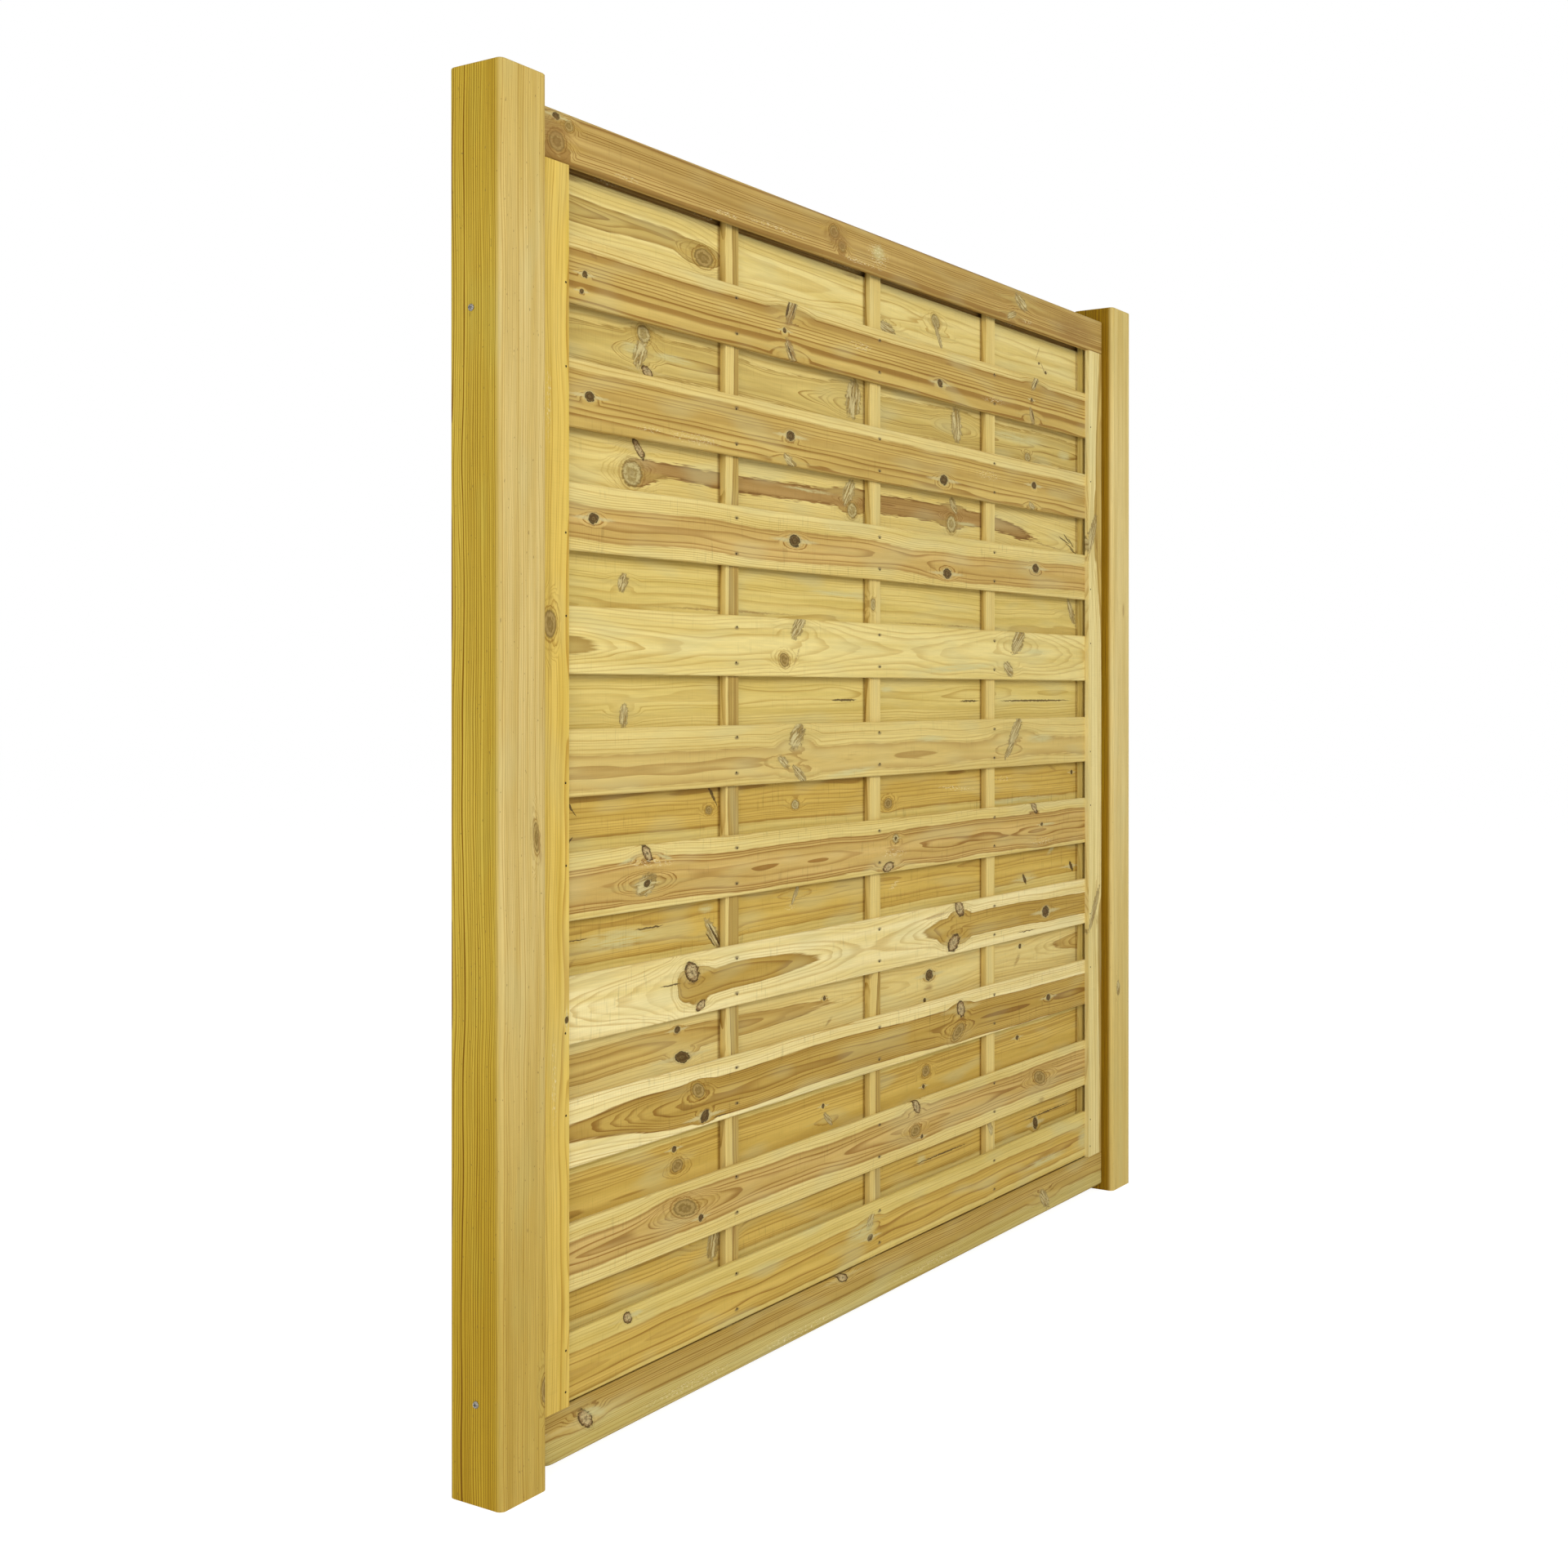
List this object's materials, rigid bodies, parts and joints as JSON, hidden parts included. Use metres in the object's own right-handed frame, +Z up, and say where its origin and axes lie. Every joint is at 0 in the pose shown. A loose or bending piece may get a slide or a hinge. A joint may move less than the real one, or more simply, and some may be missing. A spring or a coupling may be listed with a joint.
{
  "type": "privacy fence panel",
  "caption": "Closed timber fence panel with alternating front and back slats in a grooved frame, held between two square posts.",
  "frame": {"origin": "on the ground, midway between the posts and midway through their thickness", "axes": "+X along the panel towards the right post, seen from the front; -Y is the front; +Z up"},
  "size_m": [1.9852, 0.09, 1.84],
  "materials": {
    "post_timber": "planed, pressure treated",
    "frame_timber": "planed, pressure treated",
    "batten_timber": "planed, pressure treated",
    "slat_timber": "fine sawn and planed, pressure treated",
    "screw_steel": "bright zinc"
  },
  "bodies": {
    "root": {"left_post": "post_timber", "right_post": "post_timber", "top_rail": "frame_timber", "bottom_rail": "frame_timber", "left_stile": "frame_timber", "right_stile": "frame_timber", "left_end_batten": "batten_timber", "right_end_batten": "batten_timber", "middle_batten_1": "batten_timber", "middle_batten_2": "batten_timber", "middle_batten_3": "batten_timber", "front_slat_01": "slat_timber", "front_slat_02": "slat_timber", "front_slat_03": "slat_timber", "front_slat_04": "slat_timber", "front_slat_05": "slat_timber", "front_slat_06": "slat_timber", "front_slat_07": "slat_timber", "front_slat_08": "slat_timber", "front_slat_09": "slat_timber", "front_slat_10": "slat_timber", "back_slat_01": "slat_timber", "back_slat_02": "slat_timber", "back_slat_03": "slat_timber", "back_slat_04": "slat_timber", "back_slat_05": "slat_timber", "back_slat_06": "slat_timber", "back_slat_07": "slat_timber", "back_slat_08": "slat_timber", "back_slat_09": "slat_timber", "back_slat_10": "slat_timber", "post_screws": "screw_steel"}
  },
  "joints": []
}
